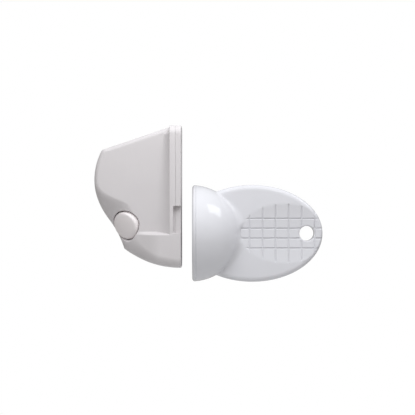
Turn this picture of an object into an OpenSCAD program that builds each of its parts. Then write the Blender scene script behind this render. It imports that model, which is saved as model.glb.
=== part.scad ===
// Magnetic cabinet safety lock with its key.
// The lock's mounting face lies in the plane x = 0 and the door is on its +X side.
// The key stands on the far side of the door, with its flat face towards the lock.

/* [Lock housing] */
// Height of the lock along the door
lock_h = 64; // [62:0.5:66]
// Depth of the lock at the belly of its front
lock_d = 39; // [38.5:0.1:39.5]
// Width between the flat side walls
body_w = 30; // [29:0.5:31]
// Wall thickness of the housing
wall = 1.8; // [1.4:0.1:2]
// Radius of the convex belly of the front
belly_r = 28.3; // [27.8:0.1:28.8]
// Height of the belly's centre above the middle of the lock
belly_z = 7.5; // [7:0.1:8]
// Height of the top front corner above the middle
brow_z = 21; // [20.5:0.1:21.5]
// Depth of the lower front corner
chin_d = 25.8; // [25.4:0.1:26.2]
// Drop of the lower front corner below the middle
chin_drop = 23.5; // [23:0.1:24]
// Radius of the hollow above the lower front corner
chin_r = 44.5; // [43:0.5:46]
// Width of the slot that the strike enters
slot_w = 15; // [14:0.5:16]

/* [Flange] */
// Width of the flange at the door
flange_w = 38; // [37:0.5:39]
// Thickness of the housing's rim, without the back plate
rim_t = 2.8; // [2.4:0.1:3.2]
// Drop of the body's top edge below the flange's top
brow_step = 0.7; // [0.5:0.1:1.2]
// Length of the flare from side wall to rim at the top
flare_top = 2.4; // [1.8:0.1:3]
// Length of the flare just above the skirt
flare_low = 8; // [7:0.5:9]
// Drop of the top of the pry notch below the middle
notch_drop = 4.2; // [3.5:0.1:5]
// Depth of the pry notch, in from the flange's edge
notch_in = 2.5; // [2:0.1:2.8]
// Depth of the pry notch into the housing's rim, from the back
notch_rim = 1; // [0.8:0.1:1.2]
// Drop of the skirt's upper edge below the middle
skirt_drop = 16; // [15.5:0.1:17]
// Radius of the flange's upper corners
flange_r = 4; // [3:0.5:5]
// Radius of the flange's lower corners
sole_corner_r = 7.5; // [7:0.25:8]

/* [Back plate] */
// Thickness of the back plate
plate_t = 2.4; // [2.2:0.1:2.6]
// Distance between the two mounting screws
screw_pitch = 50; // [49:0.5:51]
// Diameter of the mounting screw holes
screw_d = 4.2; // [3.8:0.1:4.6]
// Diameter of the countersinks
screw_head_d = 7.6; // [7:0.1:8]
// Thickness of the two cheeks that carry the pivot
cheek_t = 2; // [1.8:0.1:2.2]

/* [Latch] */
// Diameter of the pivot pin
pin_d = 3; // [2.8:0.1:3.2]
// Distance of the pivot from the door
pivot_d = 13; // [12.8:0.1:13.2]
// Height of the pivot above the middle
pivot_z = 9; // [8.8:0.1:9.2]
// Width of the hook
hook_w = 12; // [11:0.5:12.5]
// Diameter of the magnet in the lever's tail
slug_d = 9; // [8.5:0.1:9.2]
// Thickness of that magnet
slug_t = 4.2; // [3.8:0.1:4.4]
// Wire diameter of the return spring
coil_wire = 0.75; // [0.6:0.05:0.8]

/* [Button] */
// Diameter of the button
button_d = 12.8; // [12.4:0.1:13]
// Travel of the button
button_travel = 3; // [2.6:0.1:3]
// Turn of the button's face from the side wall towards the front
button_turn = 36; // [35:0.5:37]
// Turn of the button's face downwards
button_dip = 20; // [19:0.5:21]
// Distance of the button's centre from the door
button_x = 25.1; // [24.9:0.1:25.3]
// Distance of the button's centre below the middle of the lock
button_drop = 13.1; // [12.9:0.1:13.3]
// Distance of the button's centre from the middle plane
button_y = 11.9; // [11.8:0.1:12]

/* [Key] */
// Distance of the key's face from the lock's mounting face
key_gap = 5; // [4:0.5:20]
// Drop of the key's axis below the middle of the lock
key_drop = 16.7; // [16.2:0.1:17.2]
// Diameter of the key's round head
head_d = 44; // [43:0.5:45]
// Thickness of the face cap
face_t = 1.6; // [1.4:0.1:2]
// Length of the oval grip
grip_l = 64.2; // [63:0.1:65]
// How far the oval grip rises above the head, and drops below it
grip_over = 0.1; // [0.1:0.1:0.6]
// Thickness of the grip
grip_t = 10; // [9:0.5:11]
// Whole length of the key
key_l = 59.4; // [58.5:0.1:60]
// Radius of the hollow corner between head and grip
throat_r = 5; // [4:0.5:6]
// Diameter of the hang hole
hang_d = 6.8; // [6:0.1:7.4]
// Distance of the hang hole from the key's tip
hang_in = 7.2; // [7:0.1:8]
// Length of the hollow for the thumb
scoop_l = 41.2; // [39:0.1:43]
// Height of the hollow for the thumb
scoop_h = 27; // [25:0.1:28]
// Depth of the hollow for the thumb
scoop_deep = 1.2; // [0.9:0.1:1.4]
// Distance of the hollow's centre from the key's tip
scoop_in = 17; // [16:0.1:18]
// Spacing of the grooves across the grip
groove_pitch = 5.95; // [5.8:0.05:6.1]
// Spacing of the grooves along the grip
row_pitch = 4.5; // [4.3:0.1:4.7]
// Width of a groove
groove_w = 0.7; // [0.5:0.1:0.9]
// Depth of a groove
groove_deep = 0.45; // [0.3:0.05:0.6]
// Diameter of the key's magnet
magnet_d = 30; // [28:0.5:31]
// Thickness of the key's magnet
magnet_t = 9; // [8:0.5:9]
// Thickness of the steel keeper
keeper_t = 1.5; // [1.2:0.1:1.6]

/* [Hidden] */
$fn = 48;

lock_white = [0.84, 0.82, 0.82];
inner_white = [0.78, 0.77, 0.75];
key_white = [0.86, 0.86, 0.89];
steel = [0.72, 0.73, 0.75];
magnet_grey = [0.34, 0.34, 0.36];

// Clearances, and the overrun of every cut
cut = 1;
run_gap = 0.05;
seat_gap = 0.02;
side_gap = 0.3;
fit_gap = 0.1;

half_h = lock_h / 2;
half_w = body_w / 2;
half_flange = flange_w / 2;
rim_x = -(plate_t + rim_t);
back_x = -(plate_t + seat_gap);
inner_w = half_w - wall;

// Rounded edge between front and side walls: how far it reaches in from the front (in) and from
// the side wall (out), on the upper front, on the bevel that carries the button, and on the sole
edge_in = 2;
edge_out = 2;
bevel_in = 11.3;
bevel_out = bevel_in * tan(button_turn);
sole_in = 4.5;
sole_out = 5;
bevel_from_z = 6;
bevel_to_z = -9;
edge_power = 2;
bevel_power = 1.35;

// Points on an arc about c, from angle a to angle b, in n steps
function arc(c, r, a, b, n) =
    [for (i = [0:n]) let (t = a + (b - a) * i / n) c + r * [cos(t), sin(t)]];

// Point at distance r from p and s from q, on the right of the way from p to q
function meet(p, q, r, s) =
    let (d = q - p, l = norm(d), a = (r * r - s * s + l * l) / (2 * l), h = sqrt(r * r - a * a))
    p + a * d / l + h * [d.y, -d.x] / l;

function angle_of(v) = (atan2(v.y, v.x) + 360) % 360;
function smooth(t) = let (u = min(1, max(0, t))) u * u * (3 - 2 * u);
function mix(a, b, t) = a + (b - a) * t;

// Side outline of the housing as [x, z], from inside the rim's top, round the front, to the foot
belly_c = [belly_r - lock_d, belly_z];
brow = [belly_c.x - sqrt(belly_r * belly_r - (brow_z - belly_z) * (brow_z - belly_z)), brow_z];
chin = [-chin_d, -chin_drop];
chin_c = meet(belly_c, chin, belly_r + chin_r, chin_r);
waist = belly_c + belly_r * (chin_c - belly_c) / (belly_r + chin_r);
foot = [0, -half_h];
sole_rise = half_h - chin_drop;
sole_r = (chin_d * chin_d + sole_rise * sole_rise) / (2 * sole_rise);
sole_c = [foot.x, foot.y + sole_r];
top_edge = [rim_x, half_h - brow_step];
top_start = top_edge + (top_edge - brow) * 5 * fit_gap / norm(top_edge - brow);
brow_steps = 6;
belly_steps = 14;
chin_steps = 7;
sole_steps = 9;

function past_first(line) = [for (i = [1:len(line) - 1]) line[i]];
side_line = concat(
    [for (i = [0:brow_steps - 1]) mix(top_start, brow, i / brow_steps)],
    arc(belly_c, belly_r, angle_of(brow - belly_c), angle_of(waist - belly_c), belly_steps),
    past_first(arc(chin_c, chin_r, angle_of(waist - chin_c), angle_of(chin - chin_c), chin_steps)),
    past_first(arc(sole_c, sole_r, angle_of(chin - sole_c), angle_of(foot - sole_c), sole_steps)));
// The skin's last rib lies inside the skirt, just before the foot
last = len(side_line) - 2;

// Way along the outline from its start to point i, as a share of its whole length
steps_way = [for (i = [0:last]) norm(side_line[i + 1] - side_line[i])];
function way(i, k = 0, sum = 0) = k >= i ? sum : way(i, k + 1, sum + steps_way[k]);
whole_way = way(last + 1);

// Inward normal of the outline at point i, and the inward lean of the rib there, which turns
// evenly from one end of the outline to the other so that the ribs never cross
function inward(i) =
    let (a = side_line[max(0, i - 1)], b = side_line[i + 1], d = (b - a) / norm(b - a)) [-d.y, d.x];
lean_start = -66;
lean_end = 90;
least_share = 0.6;
function lean(i) = let (t = mix(lean_start, lean_end, way(i) / whole_way)) [cos(t), sin(t)];

// Reach, width and roundness of the edge at height z
function bevel_at(z) = smooth((bevel_from_z - z) / (bevel_from_z - bevel_to_z));
function sole_at(z) = smooth((z + skirt_drop) / (skirt_drop - half_h));
function edge_reach(z) = mix(mix(edge_in, bevel_in, bevel_at(z)), sole_in, sole_at(z));
function edge_width(z) = mix(mix(edge_out, bevel_out, bevel_at(z)), sole_out, sole_at(z));
function edge_round(z) = mix(mix(edge_power, bevel_power, bevel_at(z)), edge_power, sole_at(z));

// Length of the hollow flare from side wall to rim at height z
flare_steps = 4;
function flare_len(z) = mix(flare_top, flare_low, min(1, (half_h - z) / (half_h + skirt_drop)));

// Below the skirt line the body widens to the flange's width. Widening at depth x and height z
bulge_from = -22;
bulge_to = -9.5;
ledge_h = 1.2;
function bulge(x, z) =
    (half_flange - seat_gap - half_w) * smooth((x - bulge_from) / (bulge_to - bulge_from))
        * smooth((-skirt_drop - z) / ledge_h);

// One rib of the housing's skin as [x, y, z], from one rim round the front to the other, for outline
// point i, with the skin moved inwards by t and n steps on each edge. Only the outer skin flares
function rib(i, t, n) =
    let (
        p = side_line[i],
        g = lean(i),
        a = max(edge_reach(p.y), t + edge_in / 4) / max(least_share, g * inward(i)),
        b = max(edge_width(p.y) - t, edge_out / 4),
        q = p + inward(i) * t,
        e = p + g * a,
        w = half_w - t,
        u = 2 / edge_round(p.y),
        x1 = max(rim_x, e.x + fit_gap),
        x0 = max(x1 - flare_len(e.y), e.x + fit_gap / 2),
        flared = t > 0 || e.y < -skirt_drop ? 0 : half_flange - seat_gap - half_w,
        half = concat(
            [for (k = [0:n]) let (s = 90 * k / n, c = mix(q, e, 1 - pow(cos(s), u)))
                [c.x, b - w - bulge(c.x, c.y) - b * pow(sin(s), u), c.y]],
            [for (k = [0:flare_steps]) let (s = 90 * k / flare_steps, x = mix(x0, x1, sin(s)))
                [x, -w - max(flared * (1 - cos(s)), bulge(x, e.y)), e.y]],
            [[min(x1 + rim_t / 2, back_x - seat_gap), -w - max(flared, bulge(x1, e.y)), e.y]])
    )
    concat(
        [for (k = [len(half) - 1:-1:0]) half[k]],
        [for (h = half) [h.x, -h.y, h.z]]);

// Closed solid through a list of rings of points, with a fan over each end
module loft(rings) {
    n = len(rings);
    m = len(rings[0]);
    ones = [for (k = [0:m - 1]) 1];
    points = concat(
        [for (r = rings, p = r) p],
        [ones * rings[0] / m, ones * rings[n - 1] / m]);
    polyhedron(points, concat(
        [for (i = [0:n - 2], j = [0:m - 1]) let (a = i * m, b = a + m, k = (j + 1) % m) [a + j, a + k, b + j]],
        [for (i = [0:n - 2], j = [0:m - 1]) let (a = i * m, b = a + m, k = (j + 1) % m) [a + k, b + k, b + j]],
        [for (j = [0:m - 1]) [n * m, (j + 1) % m, j]],
        [for (j = [0:m - 1]) [n * m + 1, (n - 1) * m + j, (n - 1) * m + (j + 1) % m]]));
}

// Open shell between two skins of as many ribs, closed by strips round its edge
module shell(outer, inner) {
    n = len(outer);
    m = len(outer[0]);
    points = concat([for (r = outer, p = r) p], [for (r = inner, p = r) p]);
    o = n * m;
    polyhedron(points, concat(
        [for (i = [0:n - 2], j = [0:m - 2], k = [0, 1]) let (a = i * m + j)
            k == 0 ? [a + 1, a, a + m] : [a + m + 1, a + 1, a + m]],
        [for (i = [0:n - 2], j = [0:m - 2], k = [0, 1]) let (a = o + i * m + j)
            k == 0 ? [a, a + 1, a + m] : [a + 1, a + m + 1, a + m]],
        [for (j = [0:m - 2], k = [0, 1]) k == 0 ? [j, j + 1, o + j] : [o + j, j + 1, o + j + 1]],
        [for (j = [0:m - 2], k = [0, 1]) let (a = (n - 1) * m + j)
            k == 0 ? [a + 1, a, o + a] : [o + a + 1, a + 1, o + a]],
        [for (i = [0:n - 2], k = [0, 1]) let (a = i * m)
            k == 0 ? [a + m, a, o + a] : [o + a + m, a + m, o + a]],
        [for (i = [0:n - 2], k = [0, 1]) let (a = i * m + m - 1)
            k == 0 ? [a, a + m, o + a] : [o + a, a + m, o + a + m]]));
}

// Extrusions along X from x0 to x1, and along Y from y0 to y1
module along_x(x0, x1) {
    translate([x0, 0, 0]) rotate([90, 0, 90]) linear_extrude(x1 - x0) children();
}
module along_y(y0, y1) {
    translate([0, y1, 0]) rotate([90, 0, 0]) linear_extrude(y1 - y0) children();
}
module rod_x(x0, x1, r, y = 0, z = 0) {
    translate([x0, y, z]) rotate([0, 90, 0]) cylinder(h = x1 - x0, r = r);
}
module rod_y(y0, y1, r, x = 0, z = 0) {
    translate([x, y1, z]) rotate([90, 0, 0]) cylinder(h = y1 - y0, r = r);
}

// Unbroken round tube along a list of points, with the given number of sides
tube_tilt = 0.02;
module tube(path, r, sides) {
    n = len(path);
    rings = [for (i = [0:n - 1]) let (
            a = path[max(0, i - 1)],
            b = path[min(n - 1, i + 1)],
            d = (b - a) / norm(b - a),
            u = cross(d, [0, 1, tube_tilt]),
            v = u / norm(u),
            w = cross(d, v))
        [for (k = [0:sides - 1]) path[i] + r * (cos(360 * k / sides) * v - sin(360 * k / sides) * w)]];
    loft(rings);
}

// Outline of the flange in the door's plane, as [y, z], with a smaller upper radius
module flange_outline(grow = 0) {
    w = half_flange + grow;
    h = half_h + grow;
    square_w = w - flange_r;
    for (s = [-1, 1]) {
        translate([s * square_w, h - flange_r]) circle(flange_r);
        translate([s * (w - sole_corner_r), sole_corner_r - h]) circle(sole_corner_r);
    }
    translate([-w, sole_corner_r - h]) square([2 * w, 2 * h - flange_r - sole_corner_r]);
    translate([-square_w, h - 2 * flange_r]) square([2 * square_w, 2 * flange_r]);
    translate([sole_corner_r - w, -h]) square([2 * (w - sole_corner_r), 2 * sole_corner_r]);
}

// Places its children on the button's axis: the face's plane is z = 0 and outwards is +Z
module at_button() {
    translate([-button_x, -button_y, -button_drop])
        rotate([90 + button_dip, 0, -button_turn])
            children();
}

// Levels along the button's axis
button_r = button_d / 2;
mouth_gap = 0.5;
cap_h = 3;
cap_flange_t = 0.8;
cap_flange_out = 0.6;
boss_r = button_r + cap_flange_out + side_gap;
boss_wall = 1;
pad_depth = 1.5;
guide_t = 1.2;
guide_seat = 0.4;
cap_base = cap_h + cap_flange_t;
guide_out = cap_base + button_travel;
guide_in = guide_out + guide_t;
stem_r = 1.6;
nose_r = 0.8;
stem_end = guide_out + 2 * side_gap;
nose_reach = 2;
nose_end = guide_in + nose_reach;

// Slot in the top and front that the strike enters, as [x, z]
slot_front_z = 10;
slot_back_x = -11;
module strike_slot() {
    along_y(-slot_w / 2, slot_w / 2) polygon([
        [-lock_d - cut, slot_front_z],
        [slot_back_x, slot_front_z],
        [slot_back_x, half_h + cut],
        [-lock_d - cut, half_h + cut]]);
}

// Snap hooks of the back plate, and their pockets in the side walls
snap_low_z = -10.5;
snap_high_z = 19;
snap_w = 5;
snap_reach = 6.2;
snap_t = 1.2;
snap_barb = 0.6;
snap_barb_l = 1.4;
module at_snaps() {
    for (s = [0, 1], z = [snap_low_z, snap_high_z])
        mirror([0, s, 0]) translate([-plate_t, inner_w - fit_gap, z - snap_w / 2]) children();
}

edge_steps = 5;
module housing() {
    color(lock_white) difference() {
        union() {
            shell([for (i = [0:last]) rib(i, 0, edge_steps)], [for (i = [0:last]) rib(i, wall, edge_steps)]);
            // Rim above the skirt, and the skirt, with the window to the hollow inside
            difference() {
                union() {
                    difference() {
                        along_x(rim_x, back_x) flange_outline();
                        for (s = [0, 1]) mirror([0, s, 0])
                            translate([back_x - notch_rim, half_flange - notch_in, -skirt_drop - cut])
                                cube([notch_rim + cut, notch_in + cut, skirt_drop + cut - notch_drop]);
                    }
                    along_x(rim_x, 0) intersection() {
                        flange_outline();
                        translate([-flange_w, -lock_h]) square([2 * flange_w, lock_h - skirt_drop]);
                    }
                }
                along_x(rim_x - cut, cut) translate([-inner_w - fit_gap, wall - half_h])
                    square([2 * (inner_w + fit_gap), lock_h - 2 * wall - brow_step]);
                along_x(back_x, cut) plate_foot(fit_gap);
            }
            // Boss of the button and its collar, kept behind the front and the side wall
            intersection() {
                at_button() translate([0, 0, -guide_in])
                    cylinder(h = guide_in - pad_depth, r = boss_r + boss_wall);
                along_y(-half_w + seat_gap, 0)
                    polygon([for (i = [0:last]) side_line[i] + inward(i) * seat_gap]);
            }
        }
        strike_slot();
        at_snaps() translate([-snap_reach - fit_gap, 0, -fit_gap])
            cube([snap_barb_l + 3 * fit_gap, snap_barb + 2 * fit_gap, snap_w + 2 * fit_gap]);
        // Mouth, hollow and guide seat of the button
        at_button() {
            translate([0, 0, -cap_base]) cylinder(h = cap_base + 3 * cut, r = button_r + mouth_gap);
            translate([0, 0, -guide_in - cut]) cylinder(h = guide_in + cut - cap_h + fit_gap, r = boss_r);
            translate([0, 0, -guide_in - cut]) cylinder(h = guide_t + cut, r = boss_r + guide_seat);
        }
    }
}

// Part of the back plate below the pry notch, as [y, z]
module plate_foot(grow) {
    w = half_flange - notch_in + grow;
    drop = half_h - wall + grow;
    translate([-w, -drop + sole_corner_r]) square([2 * w, drop]);
    translate([sole_corner_r - w, -drop]) square([2 * (w - sole_corner_r), drop]);
    for (s = [-1, 1])
        translate([s * (w - sole_corner_r), sole_corner_r - drop]) circle(sole_corner_r);
}

cheek_y = hook_w / 2 + side_gap;
boss_out = 5;
web_x = -16.4;
stop_r = 1.4;
stop_rim = 1.2;
stop_x = web_x - side_gap - stop_r;
stop_z = -0.5;
cheek_top = 8;
cheek_foot = 13;

module base_plate() {
    color(inner_white) difference() {
        union() {
            along_x(-plate_t, 0) intersection() {
                flange_outline();
                union() {
                    translate([-flange_w, -notch_drop]) square([2 * flange_w, lock_h]);
                    plate_foot(0);
                }
            }
            for (s = [0, 1]) mirror([0, s, 0]) along_y(cheek_y, cheek_y + cheek_t) hull() {
                translate([-pivot_d, pivot_z]) circle(boss_out);
                translate([stop_x, stop_z]) circle(stop_r + stop_rim);
                translate([-plate_t - cut, pivot_z - cheek_foot])
                    square([cut + plate_t / 2, cheek_foot + cheek_top]);
            }
            rod_y(-cheek_y - cheek_t / 2, cheek_y + cheek_t / 2, stop_r, stop_x, stop_z);
            at_snaps() {
                translate([-snap_reach, -snap_t, 0]) cube([snap_reach + plate_t / 2, snap_t, snap_w]);
                translate([-snap_reach, -snap_t / 2, 0]) cube([snap_barb_l, snap_t / 2 + snap_barb, snap_w]);
            }
        }
        rod_y(-half_w, half_w, pin_d / 2 + seat_gap, -pivot_d, pivot_z);
        for (s = [-1, 1]) {
            rod_x(-plate_t - cut, cut, screw_d / 2, 0, s * screw_pitch / 2);
            translate([-plate_t, 0, s * screw_pitch / 2]) rotate([0, 90, 0])
                cylinder(h = (screw_head_d - screw_d) / 2, r1 = screw_head_d / 2, r2 = screw_d / 2);
        }
    }
}

// Side outline of the hook, as [x, z]
hub_r = 4.5;
hook_tip = [-34, 10];
hook_blunt = 2;
hook_top_x = -30.5;
hook_z = 17.5;
catch_x = -27;
catch_foot_z = 12.4;
arm_low = [-28, 6.4];
web_right = -12.3;
web_half = 3;
cup_left = -16.5;
cup_right = -11;
cup_wall = 1;
cup_r = slug_d / 2 + cup_wall;
prong_left = -21.15;
prong_right = -19.7;
prong_low = -13.5;
bridge_low = -6.5;
bridge_top = -4;
prong_y = -2.3;
hub_end = 1.6;
collar_r = 2.3;

module latch_arm() {
    color(inner_white) difference() {
        union() {
            rod_y(-hook_w / 2, hub_end, hub_r, -pivot_d, pivot_z);
            rod_y(0, hook_w / 2, collar_r, -pivot_d, pivot_z);
            // Hook and its arm
            intersection() {
                along_y(-hook_w / 2, hook_w / 2) polygon([
                    [-pivot_d, pivot_z - hub_r], arm_low, hook_tip - [0, hook_blunt], hook_tip,
                    [hook_top_x, hook_z], [catch_x, hook_z], [catch_x, catch_foot_z],
                    [-pivot_d, pivot_z + hub_r]]);
                union() {
                    translate([-lock_d, -half_w, 0]) cube([lock_d - pivot_d - hub_r, body_w, lock_h]);
                    translate([-lock_d, -half_w, 0]) cube([lock_d, half_w + hub_end, lock_h]);
                }
            }
            // Tail, the cup for the magnet, and the prong that the button's nose holds
            along_y(-web_half, hub_end) polygon([
                [web_x, pivot_z], [web_x, bridge_top], [web_x, -key_drop],
                [web_right, -key_drop], [web_right, pivot_z]]);
            along_y(-web_half, web_half) polygon([
                [web_x, bridge_low], [web_x, -key_drop], [web_right, -key_drop], [web_right, bridge_low]]);
            rod_x(cup_left, cup_right, cup_r, 0, -key_drop);
            along_y(prong_y, web_half) polygon([
                [prong_left, bridge_top], [prong_left, prong_low], [prong_right, prong_low],
                [prong_right, bridge_low], [web_x + cut, bridge_low], [web_x + cut, bridge_top]]);
        }
        rod_y(-half_w, half_w, pin_d / 2 + run_gap, -pivot_d, pivot_z);
        rod_x(cup_right - slug_t - side_gap, cup_right + cut, slug_d / 2 + seat_gap, 0, -key_drop);
    }
}

module latch_magnet() {
    color(magnet_grey)
        rod_x(cup_right - slug_t - side_gap, cup_right - side_gap, slug_d / 2, 0, -key_drop);
}

module latch_pin() {
    chamfer = pin_d / 10;
    pin_l = 2 * (cheek_y + cheek_t);
    color(steel) translate([-pivot_d, pin_l / 2, pivot_z]) rotate([90, 0, 0])
        rotate_extrude() polygon([
            [0, 0], [pin_d / 2 - chamfer, 0], [pin_d / 2, chamfer],
            [pin_d / 2, pin_l - chamfer], [pin_d / 2 - chamfer, pin_l], [0, pin_l]]);
}

// Return spring: the coil round the lever's collar, one leg on the plate and one on the tail
coil_turns = 2.75;
coil_rings = 8;
leg_l = 2;
coil_r = collar_r + side_gap + coil_wire / 2;
coil_from = hub_end + fit_gap + coil_wire / 2;
coil_to = hook_w / 2 - fit_gap - coil_wire / 2;
coil_pitch = (coil_to - coil_from) / coil_turns;
coil_gap = coil_pitch - coil_wire;
echo(coil_gap = coil_gap);
module latch_spring() {
    turn_steps = round(coil_turns * coil_rings);
    tail_leg = [web_right + coil_wire / 2 + run_gap, web_half - coil_wire / 2, bridge_low - leg_l];
    color(steel) tube(concat(
        [tail_leg, tail_leg + [0, 0, leg_l], [coil_r - pivot_d, coil_from, pivot_z - coil_r]],
        [for (i = [0:turn_steps]) let (t = i / turn_steps, a = 360 * coil_turns * t)
            [coil_r * cos(a) - pivot_d, mix(coil_from, coil_to, t), pivot_z + coil_r * sin(a)]],
        [[coil_r - pivot_d, coil_to, pivot_z - coil_r],
         [-plate_t - coil_wire, coil_to, pivot_z - coil_r]]),
        coil_wire / 2, 6);
}

// Button: domed cap with a bevelled rim, a flange that keeps it in, and a stem with a thin nose
bevel = 0.7;
dome_h = 0.9;
dome_r = (pow(button_r - bevel, 2) + dome_h * dome_h) / (2 * dome_h);
spring_room = 2.6;
spring_seat = 1.2;
module button_cap() {
    color(lock_white) at_button() difference() {
        rotate_extrude() polygon(concat(
            [[0, -nose_end], [nose_r, -nose_end], [nose_r, -stem_end], [stem_r, -stem_end],
             [stem_r, -cap_base], [button_r + cap_flange_out, -cap_base],
             [button_r + cap_flange_out, -cap_h], [button_r, -cap_h], [button_r, -bevel / 2],
             [button_r - bevel, bevel / 2]],
            [for (p = arc([0, bevel / 2 + dome_h - dome_r], dome_r,
                acos((button_r - bevel) / dome_r), 90, 6)) if (p.x < button_r - bevel - seat_gap) p]));
        translate([0, 0, -cap_base - cut]) difference() {
            cylinder(h = cut + cap_base - spring_seat, r = stem_r + spring_room);
            cylinder(h = cut + cap_base, r = stem_r);
        }
    }
}

// Button's spring: a helix about the stem, from the guide disc to the seat under the cap
lift_wire = 0.5;
lift_r = stem_r + spring_room / 2;
lift_turns = 3.5;
lift_from = -guide_out + lift_wire / 2 + seat_gap;
lift_to = -spring_seat - lift_wire / 2 - seat_gap;
lift_pitch = (lift_to - lift_from) / lift_turns;
lift_gap = lift_pitch - lift_wire;
echo(lift_gap = lift_gap);
module button_spring() {
    turn_steps = round(lift_turns * coil_rings);
    color(steel) at_button() rotate([90, 0, 0]) tube(
        [for (i = [0:turn_steps]) let (t = i / turn_steps, a = 360 * lift_turns * t)
            [lift_r * cos(a), mix(lift_from, lift_to, t), lift_r * sin(a)]],
        lift_wire / 2, 6);
}

module button_guide() {
    color(inner_white) at_button() translate([0, 0, -guide_in]) difference() {
        cylinder(h = guide_t, r = boss_r + guide_seat - seat_gap);
        translate([0, 0, -cut]) cylinder(h = guide_t + 2 * cut, r = stem_r + run_gap);
    }
}

// Key
head_r = head_d / 2;
face_edge = 0.8;
grip_a = grip_l / 2;
grip_b = head_r + grip_over;
grip_x = key_l - grip_a;
half_grip = grip_t / 2;
tip_x = key_l;
hang_x = tip_x - hang_in;
scoop_x = tip_x - scoop_in;
grip_edge = 2.2;
ball_steps = 5;
throat_steps = 5;

// Places its children at the centre of the key's face, with the key's length along +X
module at_key() {
    translate([key_gap, 0, -key_drop]) children();
}

// Front half of the oval grip: rings of an ellipse drawn in towards the face
grip_sides = 64;
module grip_form() {
    steps = 4;
    // Falling distance in front of the middle, and how far the ring is drawn in
    levels = concat([[0, 0]], [for (k = [0:steps]) let (t = 90 * k / steps)
        [half_grip - grip_edge * (1 - sin(t)), grip_edge * (1 - cos(t))]]);
    loft([for (l = levels) [for (k = [0:grip_sides - 1]) let (t = 360 * k / grip_sides)
        [grip_x + (grip_a - l.y) * cos(t), -l.x, -(grip_b - l.y) * sin(t)]]]);
}

// Front half of the head and of the hollow throat that joins it to the grip
module head_form() {
    // Centre of the throat's arc, outside the ball and above the grip's face
    h = half_grip + throat_r;
    m = sqrt(pow(head_r + throat_r, 2) - h * h);
    lift = atan2(h, m);
    ball = concat(
        [for (k = [0:ball_steps]) let (t = lift * k / ball_steps) head_r * [cos(t), sin(t)]],
        [for (k = [1:ball_steps]) let (t = lift + (90 - lift) * k / ball_steps) head_r * [cos(t), sin(t)]]);
    throat = [for (k = [0:throat_steps]) let (t = 180 + lift + (90 - lift) * k / throat_steps)
        [m, h] + throat_r * [cos(t), sin(t)]];
    intersection() {
        union() {
            rotate([90, 0, 0]) rotate_extrude() polygon(concat([[0, 0]], ball));
            intersection() {
                rotate([90, 0, 0]) rotate_extrude() polygon(concat(
                    [[0, 0], [m + seat_gap, 0]],
                    [for (k = [throat_steps:-1:0]) throat[k] - [0, seat_gap]],
                    [[0, h * head_r / (head_r + throat_r)]]));
                along_y(-head_r, 0) translate([grip_x, 0]) polygon([for (k = [0:grip_sides - 1])
                    let (t = 360 * k / grip_sides)
                        [(grip_a - grip_edge / 2) * cos(t), (grip_b - grip_edge / 2) * sin(t)]]);
            }
        }
        translate([face_t + seat_gap, -head_d, -head_d]) cube([key_l, 2 * head_d, 2 * head_d]);
    }
}

module key_form() {
    head_form();
    intersection() {
        grip_form();
        translate([head_r / 2, -head_r, -head_d]) cube([key_l, head_d, 2 * head_d]);
    }
}

// Spindle whose flank is the thumb hollow, sunk by extra below it
module scoop_form(extra) {
    sag_l = scoop_l * scoop_l / (8 * scoop_deep) + scoop_deep / 2;
    sag_h = scoop_h * scoop_h / (8 * scoop_deep) + scoop_deep / 2;
    intersection() {
        translate([scoop_x, -half_grip + scoop_deep + extra - sag_h, 0]) rotate([0, 90, 0])
            rotate_extrude($fn = 96) intersection() {
                translate([sag_h - sag_l, 0]) circle(sag_l, $fn = 180);
                translate([0, -scoop_l]) square([sag_h, 2 * scoop_l]);
            }
        translate([scoop_x - scoop_l / 2, -half_grip - grip_t, -scoop_h / 2])
            cube([scoop_l, 2 * grip_t, scoop_h]);
    }
}

module grooves() {
    columns = 6;
    rows = 4;
    first_column = scoop_x - (columns - 1) / 2 * groove_pitch - groove_pitch / 4 - groove_w / 2;
    first_row = -(rows - 1) / 2 * row_pitch - groove_w / 2;
    intersection() {
        scoop_form(groove_deep);
        union() {
            for (i = [0:columns - 1])
                translate([first_column + i * groove_pitch, -grip_t, -scoop_h])
                    cube([groove_w, grip_t, 2 * scoop_h]);
            for (j = [0:rows - 1])
                translate([scoop_x - scoop_l, -grip_t, first_row + j * row_pitch])
                    cube([2 * scoop_l, grip_t, groove_w]);
        }
    }
}

magnet_x = face_t + seat_gap;
module key_shell() {
    difference() {
        key_form();
        rod_x(magnet_x - cut, magnet_x + magnet_t + keeper_t + seat_gap, magnet_d / 2 + seat_gap);
        scoop_form(0);
        grooves();
        rod_y(-grip_t, grip_t, hang_d / 2, hang_x, 0);
    }
}

module key_front_shell() {
    color(key_white) at_key() key_shell();
}

module key_back_shell() {
    color(key_white) at_key() mirror([0, 1, 0]) key_shell();
}

module key_face_cap() {
    color(key_white) at_key() rotate([0, 90, 0]) rotate_extrude() polygon([
        [0, 0], [head_r - face_edge, 0], [head_r - face_edge / 4, face_edge / 2],
        [head_r, face_edge], [head_r - seat_gap, face_t], [0, face_t]]);
}

module key_magnet() {
    color(magnet_grey) at_key() rod_x(magnet_x, magnet_x + magnet_t, magnet_d / 2);
}

module key_keeper() {
    color(steel) at_key() rod_x(magnet_x + magnet_t, magnet_x + magnet_t + keeper_t, magnet_d / 2);
}

housing();
base_plate();
latch_arm();
latch_magnet();
latch_pin();
latch_spring();
button_cap();
button_spring();
button_guide();
key_front_shell();
key_back_shell();
key_face_cap();
key_magnet();
key_keeper();
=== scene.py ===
"""Magnetic cabinet lock with its key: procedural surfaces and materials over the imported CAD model."""

import math

import bpy
import numpy as np
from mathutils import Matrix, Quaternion, Vector


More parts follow.
